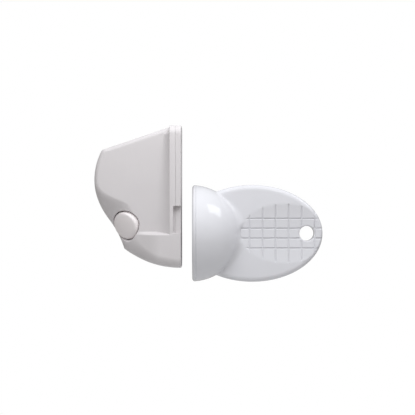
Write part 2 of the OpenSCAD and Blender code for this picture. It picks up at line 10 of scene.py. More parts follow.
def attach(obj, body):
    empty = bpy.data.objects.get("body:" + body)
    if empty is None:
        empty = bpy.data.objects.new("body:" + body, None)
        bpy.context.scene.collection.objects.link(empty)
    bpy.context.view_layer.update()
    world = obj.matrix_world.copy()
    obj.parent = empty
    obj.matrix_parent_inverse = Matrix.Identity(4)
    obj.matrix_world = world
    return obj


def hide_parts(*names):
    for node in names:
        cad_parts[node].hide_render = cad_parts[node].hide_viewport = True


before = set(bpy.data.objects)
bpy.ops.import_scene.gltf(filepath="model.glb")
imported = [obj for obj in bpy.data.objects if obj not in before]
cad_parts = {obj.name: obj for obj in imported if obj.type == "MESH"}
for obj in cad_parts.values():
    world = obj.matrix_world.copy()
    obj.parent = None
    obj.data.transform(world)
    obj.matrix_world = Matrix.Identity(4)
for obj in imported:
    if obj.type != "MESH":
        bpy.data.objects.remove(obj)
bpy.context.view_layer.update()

bl_info = {
    "name": "Cabinet lock with magnetic key",
    "version": (1, 0, 0),
    "blender": (4, 5, 0),
    "location": "3D View > Sidebar > Cabinet lock",
    "description": "Builds the lock's housing and button, the key's shells and all finishes",
    "category": "Object",
}

MM = 0.001  # surfaces are worked out in millimetres and stored in metres

# Side outline of the lock's body, as (x, z) in its middle plane
BELLY_Z = 7.5  # height of the belly arc's centre
BELLY_R = 28.3
BROW_Z = 21.0  # height of the top front corner
CHIN = (-25.8, -23.5)  # lower front corner
CHIN_R = 44.5  # hollow above the lower front corner
BROW_STEP = 0.7  # drop of the body's top edge below the flange's top
START_OVER = 0.5  # the outline starts this far inside the rim
OUTLINE_SOFT = 0.4  # half length over which the outline's corners are rounded
NORMAL_SOFT = 1.6  # half length over which its normals are evened out
OUTLINE_POINTS = 2400
ARC_POINTS = 600  # points on each line or arc of the outline before it is sampled evenly

# Rounded edge between front and side wall: reach into the front, width on the side wall, power.
# One triple each for the upper front, the bevel that carries the button, and the sole
UPPER_EDGE = (2.0, 2.0, 2.0)
BEVEL_EDGE = (11.3, 8.21, 1.35)
SOLE_EDGE = (4.5, 5.0, 2.0)
BEVEL_FROM, BEVEL_LONG = 6.0, 15.0
SOLE_FROM, SOLE_LONG = -16.0, 16.0
LEAN = (-66.0, 90.0)  # direction of the first and the last rib, in degrees
LEAST_SHARE = 0.6  # least cosine between a rib and the outline's normal, by which its reach is divided

# Columns of ribs over half of the flat front, as shares of it, and the one that the slot's side follows
FRONT_SHARES = (0.0, 0.144, 0.288, 0.432, 0.5769, 0.72, 0.86)
SLOT_COLUMN = 4
SLOT_LOW, SLOT_BACK = 10.0, -11.0  # lower edge of the slot on the front, back edge on the top

# Flange at the door: back plate, rim, the flare that leads to it, pry notch and skirt
PLATE_T = 2.42
RIM_T = 2.78
RIM_SOFT = 0.35
FLANGE_CORNER = 4.0
FLARE_TOP, FLARE_LOW = 2.4, 8.0
FLARE_POWER = 2.0
NOTCH_TOP, NOTCH_DEEP, NOTCH_IN = -4.2, 1.0, 2.5
SKIRT_Z = -16.0
BULGE_FROM, BULGE_LONG = -22.0, 12.5
LEDGE_OVER, LEDGE_H = 0.4, 1.7  # the ledge starts this far above the skirt line, and its height
SKIRT_THICKER = 0.56  # the skirt's wall is this much thicker than the body's
RIM_LAP, RIM_DRAW = 1.1, 0.6  # above the skirt the skins end so far behind the rim's front and inside it
TAIL = (0.3, 0.6, 0.9, 0.99, 1.0)  # columns between the end of the flare and the end of the skin
TAIL_DRAWN_IN = (0.0, 0.0, 0.0, 0.08, 0.3)  # draws the skirt in at the door, which rounds its edge
WINDOW_HALF, WINDOW_TOP, WINDOW_CORNER = 13.3, 29.5, 0.5  # opening of the rim, inside the body

# Button: centre of its face, turn and dip of its axis, and levels along the axis
BUTTON_AT = np.array([-25.1, -11.9, -13.1])
BUTTON_TURN, BUTTON_DIP = 36.0, 20.0
BUTTON_PLAY = (-0.19, -0.17)  # the button rests against the lower left of its mouth
MOUTH_GAP = 0.5
LIP_SOFT = 0.3
RING_CROWD = 1.5  # power by which the rings round the mouth crowd towards it
COLLAR_DROP, COLLAR_R, COLLAR_FALL, COLLAR_SOFT = 1.5, 7.8, 0.55, 0.5
BOSS_STEPS = ((0.0, -2.9), (0.4, -2.9), (0.4, -6.8), (0.8, -6.8), (0.8, -8.0), (1.4, -8.0))

# Button's profile: height of its face and the dome's fall; width, foot, height, power and first angle of
# its rounded edge; its skirt, as (radius beyond the cap, level); then its hollow, stem and nose, as
# (radius, level)
DOME_H, DOME_FALL = 1.05, 0.62
EDGE_WIDE, EDGE_FOOT, EDGE_TALL, EDGE_POWER, EDGE_FROM = 0.9, -0.55, 0.95, 1.1, 12.0
CAP_SKIRT = ((0.0, -2.99), (0.6, -3.0), (0.6, -3.77))
HOLLOW_R, HOLLOW_TOP, STEM_R = 4.2, -1.2, 1.6
CAP_INSIDE = (
    (HOLLOW_R, -3.77), (HOLLOW_R, HOLLOW_TOP), (STEM_R, HOLLOW_TOP), (STEM_R, -7.4),
    (0.8, -7.5), (0.8, -9.7), (0.55, -10.0), (0.0, -10.0),
)

# Spring under the button: half thickness of its wire, radius, turns, and its ends along the axis
COIL_WIRE, COIL_R, COIL_TURNS, COIL_FROM, COIL_TO = 0.25, 2.9, 5.1, -1.22, -6.78
COIL_FLAT = 0.8  # turns that lie flat at each end

# Key: centre of its flat face, and its forms in the frame of that centre
KEY_AT = np.array([5.0, 0.0, -16.7])
FACE_X = 1.62
SEAM_REACH, SEAM_DEEP = 0.3, 0.14
SEAM_FADE = 4.0  # half thickness of the head under which the seam's bevel dies out
KEY_LONG = 59.4
THROAT_WIDE, THROAT_TIGHT = 5.0, 0.8
THROAT_FROM, THROAT_TO = 8.0, 50.0
GRIP_EDGE, GRIP_FALL = 2.2, 8.0  # radius of the grip's edge, and how steeply it falls outside
GRIP_START = 0.4  # the grip's outline counts from this share of the head's radius
THROAT_FADE = 1.4  # the throat dies out over this distance from the grip's edge
HOLE_IN, HOLE_SOFT = 7.2, 0.6
HOLE_RINGS, HOLE_CROWD = 13, 1.4  # rings round the hole, and the power by which they crowd towards it
SCOOP_IN, SCOOP_WALL, SCOOP_SOFT = 17.0, 20.0, 0.12
FIRST_COLUMN, COLUMNS, ROWS = 26.03, 6, 4  # the grooves across and along the grip
GROOVE_FOOT, GROOVE_SLOPE = 1.3, 1.1  # a groove's edge and the length of its slope, in half widths
GROOVE_END, GROOVE_FADE = 0.985, 0.05  # grooves die out near the scoop's edge, which is at 1
ROWS_OVER = 1.0  # the even rows reach this far past the outer grooves
ROWS_SHARE, SPREAD_CROWD = 0.86, 2.2  # share of the outline they may take, and how the rest crowd to it
TIP_LONG = 3.0  # the lines across the grip draw together over this length before the tip
SEAT = 0.01  # half of the seam between the key's two shells

# Finishes that more than one piece shares
LOCK_GRAIN, KEY_GRAIN, KEY_COAT = 0.35, 0.06, 0.35
STEEL_ROUGHNESS, STEEL_STREAKS = 0.3, 900.0

# Stage, in metres: what the camera and the lamps point at, and each lamp's direction, distance, size, roll
CAMERA_AT = Vector((0.0119, 0.0, -0.0049))
LAMPS_AT = Vector((0.02, 0.0, -0.012))
LAMP_COLOUR = (0.96, 0.98, 1.0)
SOFTBOX = ((0.678, -0.116, 0.725), 0.9, (0.44, 0.34), -0.8)
CLOSE_LAMP = ((0.0, -0.58, 0.81), 0.224, (0.2, 0.2), 0.0)
FLOOR_R = 0.28

# Surroundings: how much they brighten to the right, to the front and back, and upwards, how much of that
# counts, and their tint below and above
GLOW_RIGHT, GLOW_ACROSS, GLOW_UP, GLOW_DEPTH = 0.04, 0.8, 0.6, 0.6
TINT_BELOW, TINT_ABOVE = (1.0, 0.9, 0.83, 1.0), (0.98, 0.99, 1.0, 1.0)
WHITE = (1.0, 1.0, 1.0, 1.0)

WELD = 0.0001  # points nearer than this, in millimetres, are made one


def mix(a, b, share):
    """In a straight line from a, at share 0, to b, at share 1"""
    return a + (b - a) * share


def ease(value):
    """The value held between 0 and 1 and eased at both ends: three squares of it less two cubes"""
    u = np.clip(value, 0.0, 1.0)
    return u * u * (3.0 - 2.0 * u)


def soft_max(a, b, reach):
    """The larger of two values, rounded over the given reach where they cross"""
    share = np.clip(0.5 + 0.5 * (a - b) / reach, 0.0, 1.0)
    return mix(b, a, share) + 0.5 * reach * share * (1.0 - share)


def soft_min(a, b, reach):
    """The smaller of two values, rounded in the same way"""
    return -soft_max(-a, -b, reach)


def unit(vectors):
    """Vectors divided by their own lengths"""
    return vectors / np.maximum(np.linalg.norm(vectors, axis=-1, keepdims=True), 1e-9)


def arc(centre, radius, start, end, count=ARC_POINTS):
    """Points on an arc about centre, from angle start to angle end"""
    t = np.linspace(start, end, count)
    return np.array(centre) + radius * np.stack([np.cos(t), np.sin(t)], axis=1)


def angle_of(point, centre):
    """Angle of a point about a centre, from nothing to a full turn"""
    return math.atan2(point[1] - centre[1], point[0] - centre[0]) % math.tau


def evened(values, half):
    """Running mean over 2 half + 1 samples, with the ends held in place"""
    wide = np.pad(values, ((half, half), (0, 0)), mode="reflect", reflect_type="odd")
    total = np.cumsum(np.vstack([np.zeros((1, values.shape[1])), wide]), axis=0)
    size = 2 * half + 1
    return (total[size:] - total[:-size]) / size


class Surface:
    """Points and four-cornered faces of one piece, gathered from grids and bands"""

    def __init__(self):
        self.points, self.faces, self.count = [], [], 0

    def add(self, points):
        """Adds an array of points, in millimetres, and gives their numbers in the same layout"""
        shape = points.shape[:-1]
        ids = self.count + np.arange(int(np.prod(shape))).reshape(shape)
        self.points.append(points.reshape(-1, 3))
        self.count += ids.size
        return ids

    def quads(self, ids, keep=None, flip=False):
        """Faces between neighbouring rows and columns of numbers, where keep is true"""
        faces = np.stack([ids[:-1, :-1], ids[1:, :-1], ids[1:, 1:], ids[:-1, 1:]], axis=-1)
        faces = faces[keep] if keep is not None else faces.reshape(-1, 4)
        self.faces.append(faces[:, ::-1] if flip else faces)

    def bands(self, rings):
        """Faces between closed rings of equally many numbers, from the first ring to the last"""
        rings = np.array(rings)
        after = np.roll(rings, -1, axis=1)
        self.faces.append(
            np.stack([rings[:-1], after[:-1], after[1:], rings[1:]], axis=-1).reshape(-1, 4)
        )

    def turned(self):
        """Points and corners, with points that fall together made one and the faces turned outwards"""
        points, faces = np.concatenate(self.points), np.concatenate(self.faces)
        keys = np.round(points / WELD).astype(np.int64)
        _, first, back = np.unique(keys, axis=0, return_index=True, return_inverse=True)
        points, faces = points[first], back.reshape(-1)[faces]
        a, b, c, d = (points[faces[:, k]] for k in range(4))
        volume = np.einsum("ij,ij->", np.cross(b - a, c - a) + np.cross(c - a, d - a), a)
        return points, faces[:, ::-1] if volume < 0 else faces

    def make(self, name, body, replaced, material, sharp=38.0):
        """The piece as an object in the CAD frame: smooth, with edges sharper than an angle left sharp.
        A face keeps only the corners that differ, and goes if fewer than three are left"""
        points, faces = self.turned()
        keep = faces != np.roll(faces, 1, axis=1)
        corners = keep.sum(axis=1)
        faces, keep, corners = faces[corners > 2], keep[corners > 2], corners[corners > 2]
        mesh = bpy.data.meshes.new(name)
        mesh.vertices.add(len(points))
        mesh.vertices.foreach_set("co", (points * MM).astype(np.float32).ravel())
        mesh.loops.add(int(corners.sum()))
        mesh.loops.foreach_set("vertex_index", faces[keep].astype(np.int32))
        mesh.polygons.add(len(corners))
        starts = np.concatenate([[0], np.cumsum(corners)[:-1]]).astype(np.int32)
        mesh.polygons.foreach_set("loop_start", starts)
        mesh.update(calc_edges=True)
        if mesh.validate():
            raise RuntimeError(f"{name}: the surface has faces that the mesh can't hold")
        mesh.shade_smooth()
        mesh.set_sharp_from_angle(angle=math.radians(sharp))
        mesh.materials.append(material)
        piece = bpy.data.objects.new(name, mesh)
        bpy.context.scene.collection.objects.link(piece)
        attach(piece, body)
        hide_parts(replaced)
        return piece


def block_loop(ids, first_row, last_row, first_column, last_column):
    """Numbers round a block of a grid, down its first column and back up its last"""
    a, b, c, d = first_row, last_row, first_column, last_column
    return np.concatenate([ids[a:b, c], ids[b, c:d], ids[b:a:-1, d], ids[a, d:c:-1]])


def outer_loop(ids):
    """Numbers round a whole grid, the other way round"""
    return block_loop(ids, 0, ids.shape[0] - 1, 0, ids.shape[1] - 1)[::-1]


def kept_outside(shape, *blocks):
    """Which faces of a grid lie outside the given blocks of rows and columns"""
    keep = np.ones((shape[0] - 1, shape[1] - 1), bool)
    for a, b, c, d in blocks:
        keep[a:b, c:d] = False
    return keep


def in_order(grid):
    """Numbers 0, 1, 2 and so on in the rows and columns of a grid"""
    return np.arange(grid[..., 0].size).reshape(grid.shape[:2])


def frame_axes(turn, dip):
    """Rows are the right, up and outward axes of a face that is turned from the side wall towards the
    front, by the first angle, and dipped by the second"""
    t, d = math.radians(turn), math.radians(90.0 + dip)
    right = [math.cos(t), -math.sin(t), 0.0]
    up = [math.sin(t) * math.cos(d), math.cos(t) * math.cos(d), math.sin(d)]
    out = [-math.sin(t) * math.sin(d), -math.cos(t) * math.sin(d), math.cos(d)]
    return np.array([right, up, out])


BUTTON_AXES = frame_axes(BUTTON_TURN, BUTTON_DIP)


def in_button_frame(points):
    """Points of the lock, as their places right, up and out from the centre of the button's face"""
    return (points - BUTTON_AT) @ BUTTON_AXES.T


def from_button_frame(points):
    """The other way: places right, up and out from that centre, as points of the lock"""
    return points @ BUTTON_AXES + BUTTON_AT


def heights_over(points, normals, targets, nearest=6):
    """Height of a surface over places in a plane, from the planes of its nearest points.
    Points and normals are in the plane's frame, and targets are (x, y)"""
    gaps = targets[:, None, :] - points[None, :, :2]
    far = np.einsum("ijk,ijk->ij", gaps, gaps)
    near = np.argpartition(far, nearest, axis=1)[:, :nearest]
    rows = np.arange(len(targets))[:, None]
    gap, weight = gaps[rows, near], 1.0 / (far[rows, near] + 1e-4) ** 2
    slope = -normals[:, :2] / normals[:, 2:]
    height = points[near, 2] + np.einsum("ijk,ijk->ij", slope[near], gap)
    return (height * weight).sum(axis=1) / weight.sum(axis=1)


class Body:
    """Forms of the lock's housing, worked out from the sizes in the sidebar"""

    def __init__(self, sizes):
        self.half_h = sizes.height / MM / 2
        self.half_w = sizes.body_width / MM / 2
        self.half_flange = sizes.flange_width / MM / 2
        self.wall = sizes.wall / MM
        self.depth = sizes.depth / MM
        self.button_r = sizes.button / MM / 2
        self.rim_x = -(PLATE_T + RIM_T)
        self.way, self.line, self.inward = self.outline()

    def outline(self):
        """Even samples of the side outline: a straight top, the belly arc, the hollow chin arc that
        touches it, and the sole arc that ends level at the foot. Gives way (0 to 1), points, normals"""
        belly = np.array([BELLY_R - self.depth, BELLY_Z])
        brow = np.array([belly[0] - math.sqrt(BELLY_R**2 - (BROW_Z - BELLY_Z) ** 2), BROW_Z])
        chin, both = np.array(CHIN), BELLY_R + CHIN_R
        to_chin = chin - belly
        long = math.hypot(*to_chin)
        along = (both**2 - CHIN_R**2 + long**2) / (2 * long)
        aside = math.sqrt(both**2 - along**2)
        hollow = belly + (along * to_chin + aside * np.array([to_chin[1], -to_chin[0]])) / long
        waist = mix(belly, hollow, BELLY_R / both)
        rise = self.half_h + chin[1]
        sole_r = (chin[0] ** 2 + rise**2) / (2 * rise)
        sole = (0.0, sole_r - self.half_h)
        edge = np.array([self.rim_x, self.half_h - BROW_STEP])
        start = edge + START_OVER * unit(edge - brow)
        line = np.vstack([
            mix(start, brow, np.linspace(0.0, 1.0, ARC_POINTS)[:, None]),
            arc(belly, BELLY_R, angle_of(brow, belly), angle_of(waist, belly))[1:],
            arc(hollow, CHIN_R, angle_of(waist, hollow), angle_of(chin, hollow))[1:],
            arc(sole, sole_r, angle_of(chin, sole), 1.5 * math.pi)[1:],
        ])
        long = np.concatenate([[0.0], np.cumsum(np.hypot(*np.diff(line, axis=0).T))])
        even = np.linspace(0.0, long[-1], OUTLINE_POINTS)
        step = even[1]
        line = np.stack([np.interp(even, long, line[:, k]) for k in (0, 1)], axis=1)
        line = evened(evened(line, int(OUTLINE_SOFT / step)), int(OUTLINE_SOFT / step))
        run = np.gradient(line, axis=0)
        inward = unit(evened(unit(np.stack([-run[:, 1], run[:, 0]], axis=1)), int(NORMAL_SOFT / step)))
        return even / even[-1], line, inward

    def at(self, ways, values):
        """The outline's points or normals at the given ways along it"""
        return np.stack([np.interp(ways, self.way, values[:, k]) for k in (0, 1)], axis=1)

    def edge(self, z):
        """Reach, width and power of the rounded edge at height z"""
        bevel = ease((BEVEL_FROM - z) / BEVEL_LONG)
        sole = ease((SOLE_FROM - z) / SOLE_LONG)
        return [mix(mix(u, b, bevel), s, sole) for u, b, s in zip(UPPER_EDGE, BEVEL_EDGE, SOLE_EDGE)]

    def ends(self, ways, depth):
        """Where each rib leaves the front and where it meets the side wall, as (x, z), and the width and
        power of its edge. A rib leans from the first direction of LEAN to the last"""
        p, inward = self.at(ways, self.line), self.at(ways, self.inward)
        lean = np.radians(mix(LEAN[0], LEAN[1], ways))
        g = np.stack([np.cos(lean), np.sin(lean)], axis=1)
        reach, width, power = self.edge(p[:, 1])
        share = np.maximum(LEAST_SHARE, (g * inward).sum(axis=1))
        reach = np.maximum(reach, depth + UPPER_EDGE[0] / 4) / share
        width = np.maximum(width - depth, UPPER_EDGE[1] / 4)
        return p + inward * depth, p + g * reach[:, None], width, power

    def bulge(self, x, z, depth):
        """How far the side wall stands out: below the skirt line it widens to the flange"""
        full = self.half_flange - self.half_w - (SKIRT_THICKER if depth else 0.0)
        return full * ease((x - BULGE_FROM) / BULGE_LONG) * ease((SKIRT_Z + LEDGE_OVER - z) / LEDGE_H)

    def rim_half(self, z):
        """Half width of the flange's front face at height z, within its rounded upper corners"""
        corner = FLANGE_CORNER - RIM_SOFT
        above = np.clip(z - (self.half_h - FLANGE_CORNER), 0.0, corner)
        return self.half_flange - FLANGE_CORNER + np.sqrt(np.maximum(corner**2 - above**2, 0.01))

    def skin(self, ways, depth):
        """Half of one skin, on the -Y side, as ribs by columns. A rib runs across the flat front, round a
        superellipse edge of its own reach, width and power, along the side wall, and through a quarter
        sweep to the flange. Depth moves the whole rib inwards and drops the sweep"""
        q, e, width, power = (v[:, None] for v in self.ends(ways, depth))
        qx, qz, ex, ez = (v[:, :, k] for v in (q, e) for k in (0, 1))
        w = self.half_w - depth
        u = 2.0 / power
        front = np.array(FRONT_SHARES)[None, :]
        turn = np.radians(np.linspace(0.0, 90.0, 31))[None, :]
        share = 1.0 - np.cos(turn).clip(0) ** u
        x, z = mix(qx, ex, share), mix(qz, ez, share)
        edge_y = width - w - self.bulge(x, z, depth) - width * np.sin(turn) ** u
        parts = [
            (qx + 0 * front, edge_y[:, :1] * front, qz + 0 * front),
            (x, edge_y, z),
        ]
        x1 = np.minimum(np.maximum(self.rim_x, ex + 0.1), 0.0)
        flare = mix(FLARE_TOP, FLARE_LOW, np.clip((self.half_h - ez) / (self.half_h - SKIRT_Z), 0, 1))
        x0 = np.minimum(np.maximum(x1 - flare, ex + 0.05), x1)
        x = mix(np.minimum(ex, x0), x0, np.linspace(0.0, 1.0, 22)[None, 1:-1])
        parts.append((x, -w - self.bulge(x, ez, depth), ez + 0 * x))
        flared = 0.0 if depth else self.rim_half(ez) - self.half_w
        turn = np.radians(np.linspace(0.0, 90.0, 13))[None, :]
        x = mix(x0, x1, np.sin(turn))
        sweep = np.maximum(flared * np.sin(turn) ** FLARE_POWER, self.bulge(x, ez, depth))
        parts.append((x, -w - sweep, ez + 0 * x))
        # The tail ends inside the rim above the skirt, and at the door below it
        low = ease((SKIRT_Z - 0.15 - ez) / 0.2)
        outer = self.half_flange - (SKIRT_THICKER + self.wall if depth else 0.0)
        tail = np.array(TAIL)[None, :]
        turned_in = 0.0 if depth else np.array(TAIL_DRAWN_IN)[None, :]
        over = (w if depth else self.rim_half(ez)) - (0.0 if depth else RIM_DRAW) * tail
        parts.append((
            mix(np.maximum(x1, self.rim_x) + RIM_LAP * tail, mix(x1, 0.0, tail), low),
            -mix(over, outer - turned_in, low),
            ez + 0 * tail,
        ))
        x, y, z = (np.concatenate([part[k] for part in parts], axis=1) for k in range(3))
        return np.stack([np.minimum(x, 0.0), y, z], axis=2)

    def slot_ways(self):
        """Where along the outline the slot starts, on the top, and ends, on the front"""
        past = self.line[:, 0] < SLOT_BACK
        return self.way[np.argmax(past)], self.way[np.argmax(past & (self.line[:, 1] < SLOT_LOW))]

    def ribs(self, count=206):
        """Places of the ribs: even, up to four times as close at the skirt's ledge, and one moved to each
        end of the slot"""
        z = self.ends(self.way, 0.0)[1][:, 1]
        dense = 1.0 + 3.0 * np.exp(-(((z - SKIRT_Z + 0.4) / 1.4) ** 2))
        total = np.cumsum(dense)
        ways = np.interp(np.linspace(total[0], total[-1], count), total, self.way)
        ways[0] = 0.0
        for mark in self.slot_ways():
            ways[np.argmin(abs(ways - mark))] = mark
        return ways

    def front_x(self, z):
        """The outline's x at height z between the brow and the chin"""
        part = (self.line[:, 1] < BROW_Z) & (self.line[:, 1] > CHIN[1])
        return np.interp(z, self.line[part, 1][::-1], self.line[part, 0][::-1])


def collared(body, points):
    """Raises a skin round the mouth to a collar that falls away from it with the square of the distance,
    kept inside the outline and the side wall"""
    local = in_button_frame(points)
    away = np.hypot(local[..., 0], local[..., 1])
    near = (away < 2 * COLLAR_R) & (local[..., 2] > -COLLAR_R) & (points[..., 1] < 0)
    fall = COLLAR_FALL * np.maximum(away - COLLAR_R, 0.0) ** 2
    height = soft_max(local[..., 2], -COLLAR_DROP - fall, COLLAR_SOFT)
    local[..., 2] = np.where(near, height, local[..., 2])
    raised = from_button_frame(local)
    limit = np.minimum(body.front_x(raised[..., 2]), points[..., 0])
    raised[..., 0] = np.where(near, np.maximum(raised[..., 0], limit), raised[..., 0])
    limit = np.minimum(-body.half_w, points[..., 1])
    raised[..., 1] = np.where(near, np.maximum(raised[..., 1], limit), raised[..., 1])
    return raised


def mouth_rings(grid, ids, block, radius, count=11):
    """Rings on a skin from a block of its grid to a circle about the button's axis. Seen along the axis a
    ring lies between the block and the circle, and its height is the skin's. Gives the block's numbers,
    the rings' points in the button's frame, and the angles round the circle"""
    local = in_button_frame(grid)
    normals = unit(np.cross(np.gradient(local, axis=1), np.gradient(local, axis=0)))
    normals = normals * np.sign(normals[..., 2:])
    a, b, c, d = block
    rim = local.reshape(-1, 3)[block_loop(in_order(grid), *block)]
    turn = np.unwrap(np.arctan2(rim[:, 1], rim[:, 0]))
    circle = radius * np.stack([np.cos(turn), np.sin(turn)], axis=1)
    share = np.linspace(1.0, 0.0, count)[1:, None, None] ** RING_CROWD
    flat = mix(circle[None], rim[None, :, :2], share)
    near = (slice(a - 2, b + 3), slice(c - 2, d + 3))
    height = heights_over(*(part[near].reshape(-1, 3) for part in (local, normals)), flat.reshape(-1, 2))
    return block_loop(ids, *block), np.dstack([flat, height.reshape(flat.shape[:2])]), turn


def rim_loop(body, inset, x, x_notch):
    """One line round the flange above the skirt, as points: up one side, round the corners and down the
    other. Inset None gives the window's edge. Below the notch's top the line has the second x"""
    if inset is None:
        half, top, corner = WINDOW_HALF, WINDOW_TOP, WINDOW_CORNER
    else:
        half, top = body.half_flange - inset, body.half_h - inset
        corner = max(FLANGE_CORNER - inset, WINDOW_CORNER)
    side = np.concatenate([
        np.linspace(SKIRT_Z - 1.0, NOTCH_TOP - 0.3, 6),
        np.linspace(NOTCH_TOP - 0.1, NOTCH_TOP + 0.1, 3),
        np.linspace(NOTCH_TOP + 0.5, top - corner, 8),
    ])
    bend = arc((corner - half, top - corner), corner, math.pi, 0.5 * math.pi, 13)[1:]
    across = np.linspace(corner - half, 0.0, 8)[1:]
    y = np.concatenate([side * 0 - half, bend[:, 0], across])
    z = np.concatenate([side, bend[:, 1], across * 0 + top])
    y[0] += 0.25  # the lowest end lies within the skirt
    y, z = np.concatenate([y, -y[-2::-1]]), np.concatenate([z, z[-2::-1]])
    return np.stack([np.where(z < NOTCH_TOP, x_notch, x), y, z], axis=1)


def rim_ring(surface, body):
    """Flange round the body above the skirt: a rounded front edge, the edge strip, a back edge, and the pry
    notch cut from behind. The profile is swept round the flange's outline and capped inside the skirt"""
    x0, back, notch = body.rim_x, -PLATE_T, -PLATE_T - NOTCH_DEEP
    loops = [rim_loop(body, None, x0, x0), rim_loop(body, NOTCH_IN, x0, x0)]
    for t in np.radians(np.linspace(0.0, 90.0, 7)):
        x = x0 + RIM_SOFT * (1 - math.cos(t))
        loops.append(rim_loop(body, RIM_SOFT * (1 - math.sin(t)), x, x))
    for t in np.radians(np.linspace(0.0, 90.0, 5)):
        over = RIM_SOFT / 2 * (1 - math.sin(t))
        loops.append(rim_loop(body, RIM_SOFT / 2 * (1 - math.cos(t)), back - over, notch - over))
    loops += [
        rim_loop(body, NOTCH_IN, back, notch),
        rim_loop(body, NOTCH_IN, back, back),
        rim_loop(body, None, back, back),
    ]
    points = np.array(loops)
    ids = surface.add(points)
    surface.bands(ids.T)
    for end, flip in ((0, True), (-1, False)):
        middle = surface.add(points[:, end].mean(axis=0)[None])
        ring = ids[:, end]
        fan = np.stack([ring, np.roll(ring, -1), middle[0] + 0 * ring, middle[0] + 0 * ring], axis=1)
        surface.faces.append(fan[:, ::-1] if flip else fan)


def housing(sizes, material):
    """Outer and inner skin of the body joined round their borders, with the slot for the strike, the
    button's mouth and boss, and the flange's rim"""
    body = Body(sizes)
    ways = body.ribs()
    skins = []
    for depth in (0.0, body.wall):
        half = body.skin(ways, depth)
        skins.append(np.concatenate([half[:, ::-1], half[:, 1:] * [1, -1, 1]], axis=1))
    outer, inner = skins
    outer = collared(body, outer)
    middle = outer.shape[1] // 2
    top, low = (int(np.argmin(abs(ways - mark))) for mark in body.slot_ways())
    slot = (top, low, middle - SLOT_COLUMN, middle + SLOT_COLUMN)
    surface = Surface()
    mouth_r = body.button_r + MOUTH_GAP
    boss_r = mouth_r + BOSS_STEPS[-1][0]
    blocks, ids = [], [surface.add(outer), surface.add(inner)]
    # The block of each skin's grid that the mouth or the boss goes through, on the near side wall
    for skin, radius in ((outer, mouth_r), (inner, boss_r)):
        local = in_button_frame(skin)
        away = np.hypot(local[..., 0], local[..., 1])
        near = (away < radius + 0.5) & (skin[..., 1] < 0) & (abs(local[..., 2]) < 9)
        rows, columns = near.nonzero()
        blocks.append((rows.min() - 1, rows.max() + 1, columns.min() - 1, columns.max() + 1))
    surface.quads(ids[0], kept_outside(outer.shape, slot, blocks[0]))
    surface.quads(ids[1], kept_outside(outer.shape, slot, blocks[1]), flip=True)
    surface.bands([outer_loop(ids[0]), outer_loop(ids[1])])
    surface.bands([block_loop(ids[0], *slot), block_loop(ids[1], *slot)])
    # Rings on the outer skin down to the mouth's rounded lip, the boss's steps, and the inner skin's rings
    start, rings, turn = mouth_rings(outer, ids[0], blocks[0], mouth_r)
    away = np.hypot(rings[..., 0], rings[..., 1]) - mouth_r
    lip = np.clip(LIP_SOFT - away, 0.0, LIP_SOFT)
    rings[..., 2] -= LIP_SOFT - np.sqrt(LIP_SOFT**2 - lip**2)
    end, inner_rings, inner_turn = mouth_rings(inner, ids[1], blocks[1], boss_r)
    boss = []
    for wider, level in BOSS_STEPS:
        r = mouth_r + wider
        boss.append(np.stack([r * np.cos(turn), r * np.sin(turn), level + 0 * turn], axis=1))
    foot = boss[-1].copy()
    order = np.argsort(inner_turn)
    foot[:, 2] = np.interp(turn, inner_turn[order], inner_rings[-1, order, 2], period=math.tau)
    for chain, border in ((np.concatenate([rings, boss, foot[None]]), start), (inner_rings, end)):
        placed = surface.add(from_button_frame(chain))
        surface.bands([border, *placed] if border is start else [*placed[::-1], border])
    rim_ring(surface, body)
    return surface.make("lock_housing", "lock", "housing", material)


def button_cap(sizes, material):
    """Button as a profile turned about its axis: a low dome, a rounded edge, the skirt that the mouth holds
    back, the hollow for the spring, the stem and its nose"""
    r = sizes.button / MM / 2
    run = np.linspace(0.0, 1.0, 15)
    bend = np.radians(np.linspace(EDGE_FROM, 90.0, 10))
    profile = np.vstack([
        np.stack([run * (r - EDGE_WIDE), DOME_H - DOME_FALL * run**2], axis=1),
        np.stack([
            r - EDGE_WIDE + EDGE_WIDE * np.sin(bend) ** EDGE_POWER,
            EDGE_FOOT + EDGE_TALL * np.cos(bend),
        ], axis=1),
        [(r + wider, level) for wider, level in CAP_SKIRT],
        CAP_INSIDE,
    ])
    t = np.linspace(0.0, math.tau, 97)[None, :]
    x, z = profile[:, :1] * np.cos(t), profile[:, :1] * np.sin(t)
    points = np.stack([x, z, profile[:, 1:] + 0 * t], axis=2)
    # Only the cap is set aside in its mouth: the stem stays on the axis
    cap = (profile[:, 0] > STEM_R + 0.1) | (profile[:, 1] > HOLLOW_TOP + 0.1)
    points[cap] += (*BUTTON_PLAY, 0.0)
    surface = Surface()
    surface.quads(surface.add(from_button_frame(points)))
    return surface.make("lock_button", "button", "button_cap", material)


def button_coil(material):
    """Spring under the button: a round wire along a helix about the button's axis, with flat end turns. The
    wire's circle stands in the plane through the axis, and is drawn to a point at both ends"""
    t = np.concatenate([[0.0], np.linspace(0.0, 1.0, 289), [1.0]])[:, None]
    wire = np.where((np.arange(len(t)) % (len(t) - 1))[:, None] == 0, 0.0, COIL_WIRE)
    rise = np.clip((COIL_TURNS * t - COIL_FLAT) / (COIL_TURNS - 2 * COIL_FLAT), 0.0, 1.0)
    level = mix(COIL_FROM - COIL_WIRE, COIL_TO + COIL_WIRE, rise)
    turn, round_wire = math.tau * COIL_TURNS * t, np.linspace(0.0, math.tau, 17)[None, :]
    away = COIL_R + wire * np.cos(round_wire)
    points = np.stack([away * np.cos(turn), away * np.sin(turn), level + wire * np.sin(round_wire)], axis=2)
    surface = Surface()
    surface.quads(surface.add(from_button_frame(points)))
    return surface.make("button_coil", "button", "button_spring", material)


